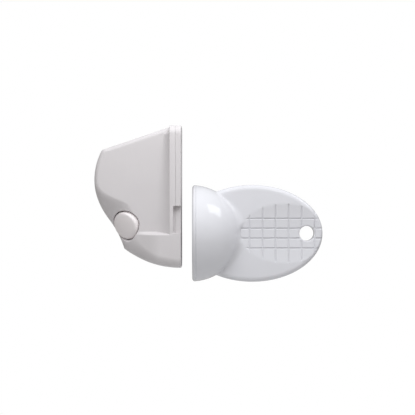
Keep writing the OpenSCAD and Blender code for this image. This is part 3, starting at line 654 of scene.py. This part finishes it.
class Key:
    """Forms of the key, worked out from the sizes in the sidebar"""

    def __init__(self, sizes):
        self.head = sizes.head / MM / 2
        self.a, self.b = sizes.grip_length / MM / 2, sizes.grip_height / MM / 2
        self.half = sizes.grip_thickness / MM / 2
        self.grip_x = KEY_LONG - self.a
        self.hole_x, self.hole_r = KEY_LONG - HOLE_IN, sizes.hole / MM / 2
        self.scoop_x = KEY_LONG - SCOOP_IN
        self.scoop = (sizes.scoop_length / MM / 2, sizes.scoop_height / MM / 2, sizes.scoop_depth / MM)
        self.groove = (sizes.groove_width / MM / 2, sizes.groove_depth / MM)
        self.columns = FIRST_COLUMN + sizes.column_pitch / MM * np.arange(COLUMNS)
        self.rows = sizes.row_pitch / MM * (np.arange(ROWS) - (ROWS - 1) / 2)

    def outline_z(self, x):
        """Half height of the outline at x: the head's circle or the grip's ellipse, whichever is outside"""
        ball = np.sqrt(np.maximum(self.head**2 - x**2, 0.0))
        oval = self.b * np.sqrt(np.maximum(1.0 - ((x - self.grip_x) / self.a) ** 2, 0.0))
        return np.maximum(ball, oval * (x > GRIP_START * self.head))

    def inside(self, x, z):
        """Distance in from the grip's edge, to first order"""
        u, v = (x - self.grip_x) / self.a, z / self.b
        q = np.sqrt(u * u + v * v) + 1e-9
        return (1.0 - q) * q / (np.sqrt((u / self.a) ** 2 + (v / self.b) ** 2) + 1e-9)

    def height(self, x, z):
        """Half thickness at (x, z): a ball for the head, a flat grip with a rounded edge, and between them
        a hollow arc that touches both and tightens away from the middle; less the scoop and its grooves"""
        away = np.hypot(x, z)
        ball = np.sqrt(np.maximum(self.head**2 - away**2, 0.0))
        d = self.inside(x, z)
        rim = self.half - GRIP_EDGE + np.sqrt(GRIP_EDGE**2 - np.clip(GRIP_EDGE - d, 0.0, GRIP_EDGE) ** 2)
        rim = np.where(d < 0, self.half - GRIP_EDGE + GRIP_FALL * d, rim)
        turn = np.degrees(np.arctan2(abs(z), x))
        r = mix(THROAT_WIDE, THROAT_TIGHT, ease((turn - THROAT_FROM) / (THROAT_TO - THROAT_FROM)))
        h = self.half + r
        m = np.sqrt((self.head + r) ** 2 - h * h)
        throat = h - np.sqrt(np.maximum(r * r - (m - away) ** 2, 0.0))
        touch = self.head * m / (self.head + r)
        extra = np.where(away < m, np.where(away > touch, throat, ball) - self.half, 0.0)
        grip = rim + np.maximum(extra, 0.0) * ease(d / THROAT_FADE)
        top = np.maximum(ball, grip)
        # Scoop, whose wall cuts the throat
        long, wide, deep = self.scoop
        q = ((x - self.scoop_x) / long) ** 2 + (z / wide) ** 2
        dish = self.half - deep * (1.0 - q) + np.where(q > 1.0, SCOOP_WALL * (q - 1.0), 0.0)
        top = soft_min(top, dish, SCOOP_SOFT)
        half, cut = self.groove
        lines = np.zeros_like(top)
        for place, run in [(c, x) for c in self.columns] + [(c, z) for c in self.rows]:
            line = ease((GROOVE_FOOT * half - abs(run - place)) / (GROOVE_SLOPE * half))
            lines = np.maximum(lines, line)
        top = top - cut * lines * ease((GROOVE_END - q) / GROOVE_FADE)
        # Bevel at the seam with the face cap
        seam = np.clip((FACE_X + SEAM_REACH - x) / SEAM_REACH, 0.0, 1.0)
        return np.maximum(top - SEAM_DEEP * seam**2 * ease(ball / SEAM_FADE), 0.0)


def marked(start, end, step, marks, half):
    """Places from start to end about a step apart, and nine across each mark, so that lines follow the
    grooves"""
    across = half * np.array([-1.35, -1.0, -0.65, -0.3, 0.0, 0.3, 0.65, 1.0, 1.35])
    near = (np.asarray(marks)[:, None] + across).ravel()
    near = near[(near > start) & (near < end)]
    even = np.linspace(start, end, int(round((end - start) / step)) + 1)
    clear = np.min(abs(even[:, None] - near[None, :]), axis=1) > 0.5 * step
    clear[[0, -1]] = True
    return np.sort(np.concatenate([even[clear], near]))


def key_shell(sizes, side, name, node, material):
    """One half of the key as a height over its middle plane. Lines of constant x cross rows that keep
    their z in the middle, on the grooves, and spread out to the outline. Side -1 faces the front"""
    key = Key(sizes)
    tip = KEY_LONG - TIP_LONG * np.linspace(1.0, 0.0, 19) ** 2
    x = np.concatenate([
        np.linspace(FACE_X, FACE_X + 0.5, 5)[:-1],
        np.linspace(FACE_X + 0.5, key.head - 1.0, 32)[:-1],
        marked(key.head - 1.0, tip[0], 0.55, key.columns, key.groove[0])[:-1],
        tip,
    ])
    edge = key.outline_z(x)
    band = key.rows[-1] + ROWS_OVER
    rows = marked(-band, band, 0.5, key.rows, key.groove[0])
    spread = 1.0 - np.linspace(1.0, 0.0, 33)[1:] ** SPREAD_CROWD
    # Rows keep their z where the outline leaves room, and are drawn together near the tip
    room = np.minimum(edge * ROWS_SHARE, band) / band
    inner = rows[None, :] * room[:, None]
    outer = mix((band * room)[:, None], edge[:, None], spread[None, :])
    z = np.concatenate([-outer[:, ::-1], inner, outer], axis=1)
    x = x[:, None] + 0 * z
    flat = np.stack([x, 0 * z, z], axis=2)
    full = np.stack([x, key.height(x, z), z], axis=2)
    away = np.hypot(x - key.hole_x, z)
    inside = np.nonzero(away < key.hole_r + 0.8)
    block = (inside[0].min() - 1, inside[0].max() + 1, inside[1].min() - 1, inside[1].max() + 1)
    surface = Surface()

    def placed(points):
        """Points over the middle plane, on this half's side of the seam, as points of the CAD frame"""
        return points * [1, side, 1] + [0, side * SEAT, 0] + KEY_AT

    top, base = surface.add(placed(full)), surface.add(placed(flat))
    keep = kept_outside(x.shape, block)
    surface.quads(top, keep)
    surface.quads(base, keep, flip=True)
    border = full.reshape(-1, 3)[outer_loop(in_order(full))]
    levels = np.linspace(1.0, 0.0, 6)[1:-1, None, None]
    walls = border[None] * [1, 0, 1] + border[None] * [0, 1, 0] * levels
    surface.bands([outer_loop(top), *surface.add(placed(walls)), outer_loop(base)])
    # Hang hole: rings from the block to the circle, with a rounded edge, and its wall
    rim = flat.reshape(-1, 3)[block_loop(in_order(flat), *block)][:, [0, 2]]
    turn = np.arctan2(rim[:, 1], rim[:, 0] - key.hole_x)
    circle = np.array([key.hole_x, 0.0]) + key.hole_r * np.stack([np.cos(turn), np.sin(turn)], axis=1)
    share = np.linspace(1.0, 0.0, HOLE_RINGS)[1:, None, None] ** HOLE_CROWD
    flat_rings = mix(circle[None], rim[None], share)
    rise = key.height(flat_rings[..., 0], flat_rings[..., 1])
    gap = np.hypot(flat_rings[..., 0] - key.hole_x, flat_rings[..., 1]) - key.hole_r
    near = np.clip(HOLE_SOFT - gap, 0.0, HOLE_SOFT)
    rise = rise - HOLE_SOFT + np.sqrt(HOLE_SOFT**2 - near**2)
    rings = np.stack([flat_rings[..., 0], rise, flat_rings[..., 1]], axis=2)
    walls = rings[-1:] * [1, 0, 1] + rings[-1:] * [0, 1, 0] * np.linspace(1.0, 0.0, 4)[1:, None, None]
    back = (rings * [1, 0, 1])[-2::-1]
    chain = placed(np.concatenate([rings, walls, back]))
    surface.bands([block_loop(top, *block), *surface.add(chain), block_loop(base, *block)])
    return surface.make(name, "key", node, material, sharp=30.0)


class Value:
    """A number in a material's node tree. Arithmetic on it adds Math nodes, so a formula reads as written"""

    def __init__(self, recipe, socket):
        self.recipe, self.socket = recipe, socket

    def math(self, operation, *sides):
        node = self.recipe.node("ShaderNodeMath", {"operation": operation}, dict(enumerate(sides)))
        return Value(self.recipe, node.outputs[0])

    def __add__(self, other):
        return self.math("ADD", self, other)

    __radd__ = __add__

    def __sub__(self, other):
        return self.math("SUBTRACT", self, other)

    def __rsub__(self, other):
        return self.math("SUBTRACT", other, self)

    def __mul__(self, other):
        return self.math("MULTIPLY", self, other)

    __rmul__ = __mul__

    def between(self, low, high):
        """This value moved to run from 0 at low to 1 at high, and held there"""
        node = self.recipe.node(
            "ShaderNodeMapRange", {"interpolation_type": "SMOOTHSTEP"}, {0: self, 1: low, 2: high}
        )
        return Value(self.recipe, node.outputs[0])


class Recipe:
    """Node tree of a material or of the world, emptied and filled again"""

    def __init__(self, owner):
        owner.use_nodes = True
        self.tree = owner.node_tree
        self.tree.nodes.clear()

    def node(self, kind, settings=None, sockets=None):
        """Adds a node: its settings first, then its sockets, each with a plain value or a link"""
        made = self.tree.nodes.new(kind)
        for name, value in (settings or {}).items():
            setattr(made, name, value)
        for name, value in (sockets or {}).items():
            socket = made.inputs[name]
            if isinstance(value, Value):
                self.tree.links.new(value.socket, socket)
            elif hasattr(value, "is_output"):
                self.tree.links.new(value, socket)
            else:
                socket.default_value = value
        return made

    def value(self, kind, output, settings=None, sockets=None):
        return Value(self, self.node(kind, settings, sockets).outputs[output])

    def colour(self, share, first, second):
        """Colour mixed from two colours by a share"""
        sockets = {0: share, 6: first, 7: second}
        return self.node("ShaderNodeMix", {"data_type": "RGBA"}, sockets).outputs[2]

    def noise(self, place, scale, detail):
        """Soft noise over a place, with so many lumps to the metre"""
        sockets = {"Vector": place, "Scale": scale, "Detail": detail}
        return self.value("ShaderNodeTexNoise", 0, {}, sockets)

    def relief(self, height, strength, distance, soften):
        """Normal of a bumpy surface. Soften rounds the sharp edges of a CAD node over that radius"""
        sockets = {"Height": height, "Strength": strength, "Distance": distance}
        if soften:
            edge = self.node("ShaderNodeBevel", {"samples": 6}, {"Radius": soften})
            sockets["Normal"] = edge.outputs[0]
        return self.node("ShaderNodeBump", {}, sockets).outputs[0]

    def surface(self, sockets):
        """Ends a material with its surface, which has these sockets"""
        skin = self.node("ShaderNodeBsdfPrincipled", {}, sockets)
        self.node("ShaderNodeOutputMaterial", {}, {"Surface": skin.outputs[0]})


def shaded(colour, factor):
    """A colour with its three parts multiplied, and alpha 1"""
    return (*[part * factor for part in colour[:3]], 1.0)


def started(name):
    """A new material, its recipe, and the place on the piece"""
    material = bpy.data.materials.new(name)
    recipe = Recipe(material)
    return material, recipe, recipe.node("ShaderNodeTexCoord").outputs["Object"]


def plastic(name, colour, roughness, grain, coat=0.0, soften=0.0):
    """Moulded plastic: a faint drift of shade and gloss over centimetres, and a fine grain in the surface"""
    material, recipe, place = started(name)
    drift = recipe.noise(place, scale=70.0, detail=2.0)
    fine = recipe.noise(place, scale=2600.0, detail=3.0)
    recipe.surface({
        "Base Color": recipe.colour(drift.between(0.3, 0.7), shaded(colour, 0.985), shaded(colour, 1.0)),
        "Roughness": roughness + (drift - 0.5) * 0.1,
        "Normal": recipe.relief(fine, strength=grain, distance=0.00004, soften=soften),
        "Coat Weight": coat,
        "Coat Roughness": 0.06,
        "IOR": 1.5,
    })
    return material


def metal(name, colour, roughness, streaks, soften):
    """Drawn or ground steel: fine streaks along the lock's width in shade, gloss and relief"""
    material, recipe, place = started(name)
    drawn = recipe.node("ShaderNodeMapping", {}, {"Vector": place, "Scale": (1.0, 0.04, 1.0)})
    lines = recipe.noise(drawn.outputs[0], scale=streaks, detail=4.0)
    recipe.surface({
        "Base Color": recipe.colour(lines.between(0.3, 0.7), shaded(colour, 0.8), shaded(colour, 1.0)),
        "Metallic": 1.0,
        "Roughness": roughness + (lines - 0.5) * 0.15,
        "Normal": recipe.relief(lines, strength=0.1, distance=0.00002, soften=soften),
    })
    return material


def magnet_skin(name, colour, roughness, soften):
    """Plated magnet: dark, with worn specks that shine"""
    material, recipe, place = started(name)
    specks = recipe.noise(place, scale=1400.0, detail=5.0)
    worn = specks.between(0.5, 0.75)
    recipe.surface({
        "Base Color": recipe.colour(worn, shaded(colour, 1.0), shaded(colour, 1.7)),
        "Metallic": 0.4,
        "Roughness": roughness - worn * 0.15,
        "Normal": recipe.relief(specks, strength=0.15, distance=0.00003, soften=soften),
    })
    return material


def length(name, about, default):
    """A size in metres, shown in the scene's unit"""
    return bpy.props.FloatProperty(
        name=name, description=about, default=default, min=0.0001, unit="LENGTH", precision=5
    )


def paint(name, about, default):
    """A colour, as three linear parts"""
    return bpy.props.FloatVectorProperty(
        name=name, description=about, default=default, size=3, min=0.0, max=1.0, subtype="COLOR"
    )


def share_of(name, about, default):
    """A share from 0 to 1"""
    return bpy.props.FloatProperty(
        name=name, description=about, default=default, min=0.0, max=1.0, subtype="FACTOR"
    )


def power_of(name, about, default):
    """A lamp's power in watts"""
    return bpy.props.FloatProperty(name=name, description=about, default=default, min=0.0, unit="POWER")


class LockSizes(bpy.types.PropertyGroup):
    height: length("Height", "Height of the lock along the door", 0.064)
    depth: length("Depth", "Depth of the lock at the belly of its front", 0.039)
    body_width: length("Body width", "Width between the flat side walls", 0.030)
    flange_width: length("Flange width", "Width of the flange at the door", 0.038)
    wall: length("Wall", "Wall thickness of the housing", 0.0018)
    button: length("Button", "Diameter of the round button", 0.0128)


class KeySizes(bpy.types.PropertyGroup):
    head: length("Head", "Diameter of the round head", 0.044)
    grip_length: length("Grip length", "Length of the oval grip", 0.0642)
    grip_height: length("Grip height", "Height of the oval grip", 0.0442)
    grip_thickness: length("Grip thickness", "Thickness of the grip", 0.010)
    hole: length("Hang hole", "Diameter of the hang hole", 0.0068)
    scoop_length: length("Scoop length", "Length of the hollow for the thumb", 0.0412)
    scoop_height: length("Scoop height", "Height of the hollow for the thumb", 0.027)
    scoop_depth: length("Scoop depth", "Depth of the hollow for the thumb", 0.0012)
    column_pitch: length("Column pitch", "Spacing of the grooves across the grip", 0.00595)
    row_pitch: length("Row pitch", "Spacing of the grooves along the grip", 0.0045)
    groove_width: length("Groove width", "Width of a groove", 0.0007)
    groove_depth: length("Groove depth", "Depth of a groove", 0.00045)


class Finishes(bpy.types.PropertyGroup):
    lock_colour: paint("Lock", "Colour of the housing and its back plate", (0.66, 0.63, 0.635))
    # The button's colour is painted lighter than the housing's. This is painted light: it stands in for the
    # light that the button's face misses, since the face turns down and to the left
    button_painted_light_colour: paint("Button", "Colour of the button", (0.9, 0.85, 0.85))
    inner_colour: paint("Inner parts", "Colour of the lever and the button's guide", (0.66, 0.65, 0.64))
    key_colour: paint("Key", "Colour of the key's shells and face", (0.72, 0.715, 0.745))
    steel_colour: paint("Steel", "Colour of the pin, springs and keeper", (0.58, 0.58, 0.6))
    magnet_colour: paint("Magnet", "Colour of the magnets", (0.1, 0.1, 0.11))
    lock_roughness: share_of("Lock roughness", "Roughness of the lock's plastic", 0.42)
    key_roughness: share_of("Key roughness", "Roughness of the key's plastic", 0.16)


class Studio(bpy.types.PropertyGroup):
    lens: bpy.props.FloatProperty(
        name="Lens", description="Focal length on a 36 mm sensor", default=135.0, min=10.0, unit="CAMERA"
    )
    distance: length("Distance", "Distance of the camera from the lock's middle plane", 0.7134)
    floor_drop: length("Floor drop", "Drop of the floor below the lock's middle", 0.15)
    floor_colour: paint("Floor", "Colour of the floor", (0.82, 0.82, 0.82))
    softbox: power_of("Softbox", "Power of the softbox at the upper right", 1.3)
    lamp: power_of("Lamp", "Power of the lamp close above the lock's front", 0.48)
    surroundings: share_of("Surroundings", "Brightness of the white surroundings", 0.31)


class BuildHousing(bpy.types.Operator):
    """Builds the lock's housing in place of its CAD node"""

    bl_idname = "cabinet_lock.housing"
    bl_label = "Build housing"

    def execute(self, context):
        look = context.scene.lock_finish
        skin = plastic("lock_plastic", look.lock_colour, look.lock_roughness, LOCK_GRAIN)
        housing(context.scene.lock_sizes, skin)
        return {"FINISHED"}


class BuildButton(bpy.types.Operator):
    """Builds the button in place of its CAD node"""

    bl_idname = "cabinet_lock.button"
    bl_label = "Build button"

    def execute(self, context):
        look = context.scene.lock_finish
        # Painted light: the button's lighter colour makes up for the shade on its face, which is turned away
        # from the lamps
        skin = plastic("button_plastic_painted_light", look.button_painted_light_colour, look.lock_roughness - 0.1, grain=0.2)
        button_cap(context.scene.lock_sizes, skin)
        return {"FINISHED"}


class BuildSpring(bpy.types.Operator):
    """Builds the button's spring in place of its CAD node. It moves with the button"""

    bl_idname = "cabinet_lock.spring"
    bl_label = "Build spring"

    def execute(self, context):
        look = context.scene.lock_finish
        button_coil(metal("spring_steel", look.steel_colour, STEEL_ROUGHNESS, STEEL_STREAKS, 0.00005))
        return {"FINISHED"}


class BuildKey(bpy.types.Operator):
    """Builds both shells of the key in place of their CAD nodes"""

    bl_idname = "cabinet_lock.key"
    bl_label = "Build key"

    def execute(self, context):
        look = context.scene.lock_finish
        skin = plastic("key_plastic", look.key_colour, look.key_roughness, KEY_GRAIN, KEY_COAT)
        for side, name, node in ((-1, "key_front", "key_front_shell"), (1, "key_back", "key_back_shell")):
            key_shell(context.scene.key_sizes, side, name, node, skin)
        return {"FINISHED"}


class FinishParts(bpy.types.Operator):
    """Gives the carried-over CAD nodes their finishes"""

    bl_idname = "cabinet_lock.finishes"
    bl_label = "Finish other parts"

    def execute(self, context):
        look = context.scene.lock_finish
        soft = 0.0003  # radius to which a node's sharp edges look rounded
        inner = plastic("inner_plastic", look.inner_colour, 0.45, grain=0.3, soften=soft)
        plate = plastic("plate_plastic", look.lock_colour, look.lock_roughness, LOCK_GRAIN, soften=soft)
        face = plastic("face_plastic", look.key_colour, look.key_roughness, KEY_GRAIN, KEY_COAT, soft)
        steel = metal("steel", look.steel_colour, STEEL_ROUGHNESS, STEEL_STREAKS, soft / 2)
        magnet = magnet_skin("magnet", look.magnet_colour, roughness=0.4, soften=soft)
        for material, names in (
            (plate, ("base_plate",)),
            (inner, ("latch_arm", "button_guide")),
            (face, ("key_face_cap",)),
            (steel, ("latch_pin", "latch_spring", "key_keeper")),
            (magnet, ("latch_magnet", "key_magnet")),
        ):
            for name in names:
                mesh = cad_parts[name].data
                mesh.materials.clear()
                mesh.materials.append(material)
        return {"FINISHED"}


class SetStage(bpy.types.Operator):
    """Sets the camera, the softbox, the white surroundings and the floor"""

    bl_idname = "cabinet_lock.stage"
    bl_label = "Set stage"

    def execute(self, context):
        scene, studio = context.scene, context.scene.lock_studio
        camera = bpy.data.objects.new("camera", bpy.data.cameras.new("camera"))
        camera.data.lens, camera.data.sensor_width = studio.lens, 36.0
        camera.location = CAMERA_AT + Vector((0.0, -studio.distance, 0.0))
        camera.rotation_euler = (math.radians(90.0), 0.0, 0.0)
        scene.collection.objects.link(camera)
        scene.camera = camera
        for name, (away, distance, size, roll), power in (
            ("softbox", SOFTBOX, studio.softbox),
            ("lamp", CLOSE_LAMP, studio.lamp),
        ):
            lamp = bpy.data.objects.new(name, bpy.data.lights.new(name, "AREA"))
            lamp.data.shape, lamp.data.energy = "RECTANGLE", power
            lamp.data.size, lamp.data.size_y = size
            lamp.data.color = LAMP_COLOUR
            lamp.location = LAMPS_AT + Vector(away).normalized() * distance
            turn = Vector(away).to_track_quat("Z", "Y") @ Quaternion((0.0, 0.0, 1.0), roll)
            lamp.rotation_euler = turn.to_euler()
            lamp.visible_glossy = name == "softbox"  # only the softbox shows on the key
            scene.collection.objects.link(lamp)
        world = scene.world or bpy.data.worlds.new("surroundings")
        scene.world = world
        recipe = Recipe(world)
        rays = recipe.node("ShaderNodeLightPath")
        ray = recipe.node("ShaderNodeTexCoord").outputs["Generated"]
        parts = recipe.node("ShaderNodeSeparateXYZ", {}, {0: ray}).outputs
        right, across, up = (Value(recipe, part) for part in parts)
        across = across.math("ABSOLUTE", across)
        facing = right * GLOW_RIGHT + across * GLOW_ACROSS + up * GLOW_UP
        seen = Value(recipe, rays.outputs["Is Camera Ray"])
        light = (facing * GLOW_DEPTH + 1.0) * studio.surroundings
        tint = recipe.colour(seen, recipe.colour(up.between(-0.8, 0.3), TINT_BELOW, TINT_ABOVE), WHITE)
        strength = seen + (1.0 - seen) * light
        glow = recipe.node("ShaderNodeBackground", {}, {"Color": tint, "Strength": strength})
        recipe.node("ShaderNodeOutputWorld", {}, {"Surface": glow.outputs[0]})
        mesh = bpy.data.meshes.new("floor")
        t = np.linspace(0.0, math.tau, 97)[:-1]
        x, y = FLOOR_R * np.cos(t) + CAMERA_AT.x, FLOOR_R * np.sin(t)
        ring = np.stack([x, y, 0 * t - studio.floor_drop], axis=1)
        mesh.from_pydata(ring.tolist(), [], [list(range(len(t)))])
        floor = bpy.data.objects.new("floor", mesh)
        mesh.materials.append(plastic("floor_card", studio.floor_colour, 0.9, 0.1))
        scene.collection.objects.link(floor)
        scene.view_settings.view_transform = "Standard"
        return {"FINISHED"}


class LockPanel(bpy.types.Panel):
    """Sizes, finishes and steps of the cabinet lock"""

    bl_idname = "VIEW3D_PT_cabinet_lock"
    bl_label = "Cabinet lock"
    bl_space_type = "VIEW_3D"
    bl_region_type = "UI"
    bl_category = "Cabinet lock"

    def draw(self, context):
        for holder in GROUPS:
            group = getattr(context.scene, holder)
            box = self.layout.box()
            for name in group.__annotations__:
                box.prop(group, name)
        for step in STEPS:
            self.layout.operator(step.bl_idname)


GROUPS = {"lock_sizes": LockSizes, "key_sizes": KeySizes, "lock_finish": Finishes, "lock_studio": Studio}
STEPS = (BuildHousing, BuildButton, BuildSpring, BuildKey, FinishParts, SetStage)


def register():
    for group in (*GROUPS.values(), *STEPS, LockPanel):
        bpy.utils.register_class(group)
    for holder, group in GROUPS.items():
        setattr(bpy.types.Scene, holder, bpy.props.PointerProperty(type=group))


def unregister():
    for holder in GROUPS:
        delattr(bpy.types.Scene, holder)
    for group in (LockPanel, *reversed(STEPS), *reversed(GROUPS.values())):
        bpy.utils.unregister_class(group)


def main():
    """Registers the add-on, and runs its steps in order"""
    register()
    bpy.ops.cabinet_lock.housing()
    bpy.ops.cabinet_lock.button()
    bpy.ops.cabinet_lock.spring()
    bpy.ops.cabinet_lock.key()
    bpy.ops.cabinet_lock.finishes()
    bpy.ops.cabinet_lock.stage()


if __name__ == "__main__":
    main()
